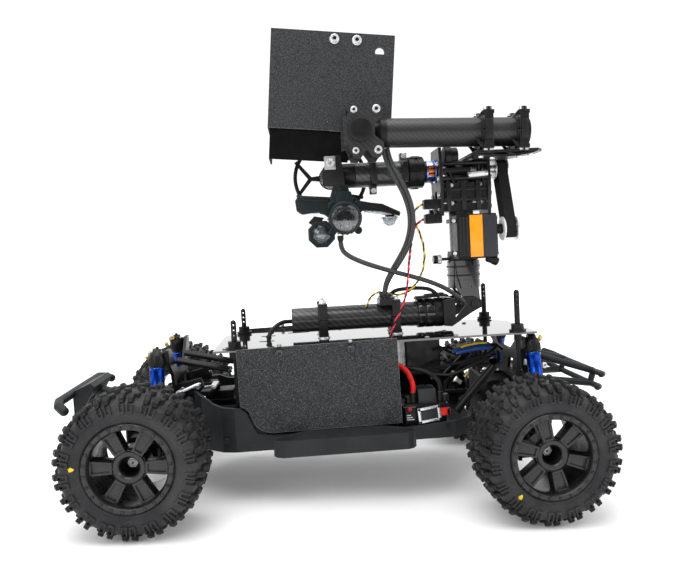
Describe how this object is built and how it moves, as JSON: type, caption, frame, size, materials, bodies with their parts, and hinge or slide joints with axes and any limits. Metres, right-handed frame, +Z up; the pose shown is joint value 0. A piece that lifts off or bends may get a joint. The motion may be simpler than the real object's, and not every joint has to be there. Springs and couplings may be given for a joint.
{
  "type": "four wheel robot chassis",
  "caption": "Four-wheel sprung robot chassis with a flat deck, a folding carbon mast, a tilting sheet-metal hood and a rolling lamp arm.",
  "frame": {"origin": "on the ground, under the middle of the object's box", "axes": "+Z up, +X to the rear of the vehicle, +Y to its left-hand side seen from behind, away from the viewer of the side shown"},
  "size_m": [0.5223, 0.3, 0.4495],
  "materials": {
    "tyre": "moulded knobbly rubber",
    "rim_plastic": "moulded, satin",
    "moulding": "moulded nylon, fine grain",
    "arm_plastic": "moulded nylon",
    "link_steel": "black turnbuckle",
    "shock_blue": "anodised, turned",
    "shock_steel": "ground shaft and black spring",
    "tower": "black anodised plate",
    "gearbox": "moulded case, steel motor",
    "deck_gloss": "glossy fibre plate",
    "textured_sheet": "textured powder coat",
    "post_plastic": "moulded",
    "battery_wrap": "shrink wrap",
    "controller_case": "moulded case",
    "carbon": "woven carbon, clear coat",
    "clamp_black": "black anodised",
    "servo_case": "moulded case with a plain label",
    "pulley_metal": "turned",
    "belt_rubber": "toothed",
    "lamp_black": "moulded, clear lenses",
    "cable_sleeve": "braided sleeve",
    "twisted_yellow": "twisted pair",
    "twisted_red": "twisted pair"
  },
  "bodies": {
    "chassis": {"chassis_tub": "moulding", "side_loops": "moulding", "bumpers": "moulding", "drivetrain": "gearbox", "shock_towers": "tower", "deck_plate": "deck_gloss", "body_posts": "post_plastic", "side_panels": "textured_sheet", "battery_pack": "battery_wrap", "speed_controller": "controller_case", "deck_tube": "carbon", "deck_clamps": "clamp_black", "fold_base": "clamp_black", "held_leads": "cable_sleeve"},
    "front_near_arm": {"front_near_lower_arm": "arm_plastic"},
    "front_near_link": {"front_near_upper_link": "link_steel"},
    "front_near_carrier": {"front_near_carrier": "arm_plastic"},
    "front_near_shock": {"front_near_shock_body": "shock_blue"},
    "front_near_shaft": {"front_near_shock_shaft": "shock_steel"},
    "front_near_wheel": {"front_near_tyre": "tyre", "front_near_rim": "rim_plastic"},
    "front_near_knuckle": {"front_near_knuckle": "arm_plastic"},
    "front_far_arm": {"front_far_lower_arm": "arm_plastic"},
    "front_far_link": {"front_far_upper_link": "link_steel"},
    "front_far_carrier": {"front_far_carrier": "arm_plastic"},
    "front_far_shock": {"front_far_shock_body": "shock_blue"},
    "front_far_shaft": {"front_far_shock_shaft": "shock_steel"},
    "front_far_wheel": {"front_far_tyre": "tyre", "front_far_rim": "rim_plastic"},
    "front_far_knuckle": {"front_far_knuckle": "arm_plastic"},
    "rear_near_arm": {"rear_near_lower_arm": "arm_plastic"},
    "rear_near_link": {"rear_near_upper_link": "link_steel"},
    "rear_near_carrier": {"rear_near_carrier": "arm_plastic"},
    "rear_near_shock": {"rear_near_shock_body": "shock_blue"},
    "rear_near_shaft": {"rear_near_shock_shaft": "shock_steel"},
    "rear_near_wheel": {"rear_near_tyre": "tyre", "rear_near_rim": "rim_plastic"},
    "rear_far_arm": {"rear_far_lower_arm": "arm_plastic"},
    "rear_far_link": {"rear_far_upper_link": "link_steel"},
    "rear_far_carrier": {"rear_far_carrier": "arm_plastic"},
    "rear_far_shock": {"rear_far_shock_body": "shock_blue"},
    "rear_far_shaft": {"rear_far_shock_shaft": "shock_steel"},
    "rear_far_wheel": {"rear_far_tyre": "tyre", "rear_far_rim": "rim_plastic"},
    "mast": {"mast_tube": "clamp_black", "mast_frame": "clamp_black", "servo_box": "servo_case", "drive_belt": "belt_rubber", "upper_tube": "carbon", "head_bracket": "clamp_black", "end_plates": "carbon", "harness_cable": "cable_sleeve", "lamp_cable": "cable_sleeve", "yellow_lead": "twisted_yellow", "red_lead": "twisted_red"},
    "servo_pulley": {"servo_pulley": "pulley_metal"},
    "lamp_arm": {"roll_arm": "clamp_black", "ring_wheel": "rim_plastic", "lamp_head": "lamp_black"},
    "hood": {"hood": "textured_sheet"}
  },
  "joints": [
    {"name": "front_near_arm_hinge", "type": "hinge", "parent": "chassis", "child": "front_near_arm", "pos_m": [-0.17346, -0.03, 0.04997], "axis": [-0.9989, 0, -0.0466], "range_deg": [-8, 8], "stiffness_Nm_per_rad": 3, "springref_deg": -9.74},
    {"name": "front_near_carrier_hinge", "type": "hinge", "parent": "front_near_arm", "child": "front_near_carrier", "pos_m": [-0.17325, -0.086, 0.04552], "axis": [-0.9989, 0, -0.0466], "range_deg": [-9, 9]},
    {"name": "front_near_link_hinge", "type": "hinge", "parent": "chassis", "child": "front_near_link", "pos_m": [-0.17995, -0.03, 0.08171], "axis": [-0.9989, 0, -0.0466], "range_deg": [-9, 9]},
    {"name": "front_near_shock_hinge", "type": "hinge", "parent": "chassis", "child": "front_near_shock", "pos_m": [-0.16957, -0.05, 0.13825], "axis": [-0.9989, 0, -0.0466], "range_deg": [-8, 8]},
    {"name": "front_near_shock_slide", "type": "slide", "parent": "front_near_shock", "child": "front_near_shaft", "axis": [-0.0447, 0.2799, 0.959], "range_m": [-0.012, 0.012]},
    {"name": "front_near_steer", "type": "hinge", "parent": "front_near_carrier", "child": "front_near_knuckle", "pos_m": [-0.174, -0.103, 0.0615], "axis": [-0.0466, 0, 0.9989], "range_deg": [-20, 20]},
    {"name": "front_near_wheel_spin", "type": "hinge", "parent": "front_near_knuckle", "child": "front_near_wheel", "pos_m": [-0.174, -0.118, 0.0615], "axis": [0, 1, 0], "continuous": true},
    {"name": "front_far_arm_hinge", "type": "hinge", "parent": "chassis", "child": "front_far_arm", "pos_m": [-0.17346, 0.03, 0.04997], "axis": [0.9989, 0, 0.0466], "range_deg": [-8, 8], "stiffness_Nm_per_rad": 3, "springref_deg": -9.74},
    {"name": "front_far_carrier_hinge", "type": "hinge", "parent": "front_far_arm", "child": "front_far_carrier", "pos_m": [-0.17325, 0.086, 0.04552], "axis": [0.9989, 0, 0.0466], "range_deg": [-9, 9]},
    {"name": "front_far_link_hinge", "type": "hinge", "parent": "chassis", "child": "front_far_link", "pos_m": [-0.17995, 0.03, 0.08171], "axis": [0.9989, 0, 0.0466], "range_deg": [-9, 9]},
    {"name": "front_far_shock_hinge", "type": "hinge", "parent": "chassis", "child": "front_far_shock", "pos_m": [-0.16957, 0.05, 0.13825], "axis": [0.9989, 0, 0.0466], "range_deg": [-8, 8]},
    {"name": "front_far_shock_slide", "type": "slide", "parent": "front_far_shock", "child": "front_far_shaft", "axis": [-0.0447, -0.2799, 0.959], "range_m": [-0.012, 0.012]},
    {"name": "front_far_steer", "type": "hinge", "parent": "front_far_carrier", "child": "front_far_knuckle", "pos_m": [-0.174, 0.103, 0.0615], "axis": [-0.0466, 0, 0.9989], "range_deg": [-20, 20]},
    {"name": "front_far_wheel_spin", "type": "hinge", "parent": "front_far_knuckle", "child": "front_far_wheel", "pos_m": [-0.174, 0.118, 0.0615], "axis": [0, 1, 0], "continuous": true},
    {"name": "rear_near_arm_hinge", "type": "hinge", "parent": "chassis", "child": "rear_near_arm", "pos_m": [0.17378, -0.03, 0.06617], "axis": [-0.9989, 0, -0.0466], "range_deg": [-8, 8], "stiffness_Nm_per_rad": 3, "springref_deg": -9.74},
    {"name": "rear_near_carrier_hinge", "type": "hinge", "parent": "rear_near_arm", "child": "rear_near_carrier", "pos_m": [0.17475, -0.086, 0.04552], "axis": [-0.9989, 0, -0.0466], "range_deg": [-9, 9]},
    {"name": "rear_near_link_hinge", "type": "hinge", "parent": "chassis", "child": "rear_near_link", "pos_m": [0.1673, -0.03, 0.0979], "axis": [-0.9989, 0, -0.0466], "range_deg": [-9, 9]},
    {"name": "rear_near_shock_hinge", "type": "hinge", "parent": "chassis", "child": "rear_near_shock", "pos_m": [0.18854, -0.05, 0.14694], "axis": [-0.9989, 0, -0.0466], "range_deg": [-8, 8]},
    {"name": "rear_near_shock_slide", "type": "slide", "parent": "rear_near_shock", "child": "rear_near_shaft", "axis": [-0.0449, 0.2658, 0.963], "range_m": [-0.012, 0.012]},
    {"name": "rear_near_wheel_spin", "type": "hinge", "parent": "rear_near_carrier", "child": "rear_near_wheel", "pos_m": [0.174, -0.118, 0.0615], "axis": [0, 1, 0], "continuous": true},
    {"name": "rear_far_arm_hinge", "type": "hinge", "parent": "chassis", "child": "rear_far_arm", "pos_m": [0.17378, 0.03, 0.06617], "axis": [0.9989, 0, 0.0466], "range_deg": [-8, 8], "stiffness_Nm_per_rad": 3, "springref_deg": -9.74},
    {"name": "rear_far_carrier_hinge", "type": "hinge", "parent": "rear_far_arm", "child": "rear_far_carrier", "pos_m": [0.17475, 0.086, 0.04552], "axis": [0.9989, 0, 0.0466], "range_deg": [-9, 9]},
    {"name": "rear_far_link_hinge", "type": "hinge", "parent": "chassis", "child": "rear_far_link", "pos_m": [0.1673, 0.03, 0.0979], "axis": [0.9989, 0, 0.0466], "range_deg": [-9, 9]},
    {"name": "rear_far_shock_hinge", "type": "hinge", "parent": "chassis", "child": "rear_far_shock", "pos_m": [0.18854, 0.05, 0.14694], "axis": [0.9989, 0, 0.0466], "range_deg": [-8, 8]},
    {"name": "rear_far_shock_slide", "type": "slide", "parent": "rear_far_shock", "child": "rear_far_shaft", "axis": [-0.0449, -0.2658, 0.963], "range_m": [-0.012, 0.012]},
    {"name": "rear_far_wheel_spin", "type": "hinge", "parent": "rear_far_carrier", "child": "rear_far_wheel", "pos_m": [0.174, 0.118, 0.0615], "axis": [0, 1, 0], "continuous": true},
    {"name": "mast_fold", "type": "hinge", "parent": "chassis", "child": "mast", "pos_m": [0.14185, 0, 0.1783], "axis": [0, 1, 0], "range_deg": [0, 80]},
    {"name": "arm_roll", "type": "hinge", "parent": "mast", "child": "lamp_arm", "pos_m": [0.09553, 0, 0.31279], "axis": [0.9989, 0, 0.0466], "range_deg": [-3, 12]},
    {"name": "pulley_turn", "type": "hinge", "parent": "mast", "child": "servo_pulley", "pos_m": [0.17334, -0.023, 0.25435], "axis": [0.9989, 0, 0.0466], "range_deg": [-21, 21]},
    {"name": "hood_tilt", "type": "hinge", "parent": "mast", "child": "hood", "pos_m": [0.02148, -0.04, 0.34437], "axis": [0, 1, 0], "range_deg": [-1, 20]}
  ],
  "couplings": [
    {"joint": "front_near_carrier_hinge", "follows": "front_near_arm_hinge", "ratio": -1},
    {"joint": "front_near_link_hinge", "follows": "front_near_arm_hinge", "ratio": 1},
    {"joint": "front_near_shock_hinge", "follows": "front_near_arm_hinge", "ratio": 0.07755},
    {"joint": "front_near_shock_slide", "follows": "front_near_arm_hinge", "m_per_rad": 0.043724},
    {"joint": "front_far_carrier_hinge", "follows": "front_far_arm_hinge", "ratio": -1},
    {"joint": "front_far_link_hinge", "follows": "front_far_arm_hinge", "ratio": 1},
    {"joint": "front_far_shock_hinge", "follows": "front_far_arm_hinge", "ratio": 0.07755},
    {"joint": "front_far_shock_slide", "follows": "front_far_arm_hinge", "m_per_rad": 0.043724},
    {"joint": "rear_near_carrier_hinge", "follows": "rear_near_arm_hinge", "ratio": -1},
    {"joint": "rear_near_link_hinge", "follows": "rear_near_arm_hinge", "ratio": 1},
    {"joint": "rear_near_shock_hinge", "follows": "rear_near_arm_hinge", "ratio": 0.20324},
    {"joint": "rear_near_shock_slide", "follows": "rear_near_arm_hinge", "m_per_rad": 0.040478},
    {"joint": "rear_far_carrier_hinge", "follows": "rear_far_arm_hinge", "ratio": -1},
    {"joint": "rear_far_link_hinge", "follows": "rear_far_arm_hinge", "ratio": 1},
    {"joint": "rear_far_shock_hinge", "follows": "rear_far_arm_hinge", "ratio": 0.20324},
    {"joint": "rear_far_shock_slide", "follows": "rear_far_arm_hinge", "m_per_rad": 0.040478},
    {"joint": "front_far_steer", "follows": "front_near_steer", "ratio": 1},
    {"joint": "pulley_turn", "follows": "arm_roll", "ratio": 1}
  ]
}
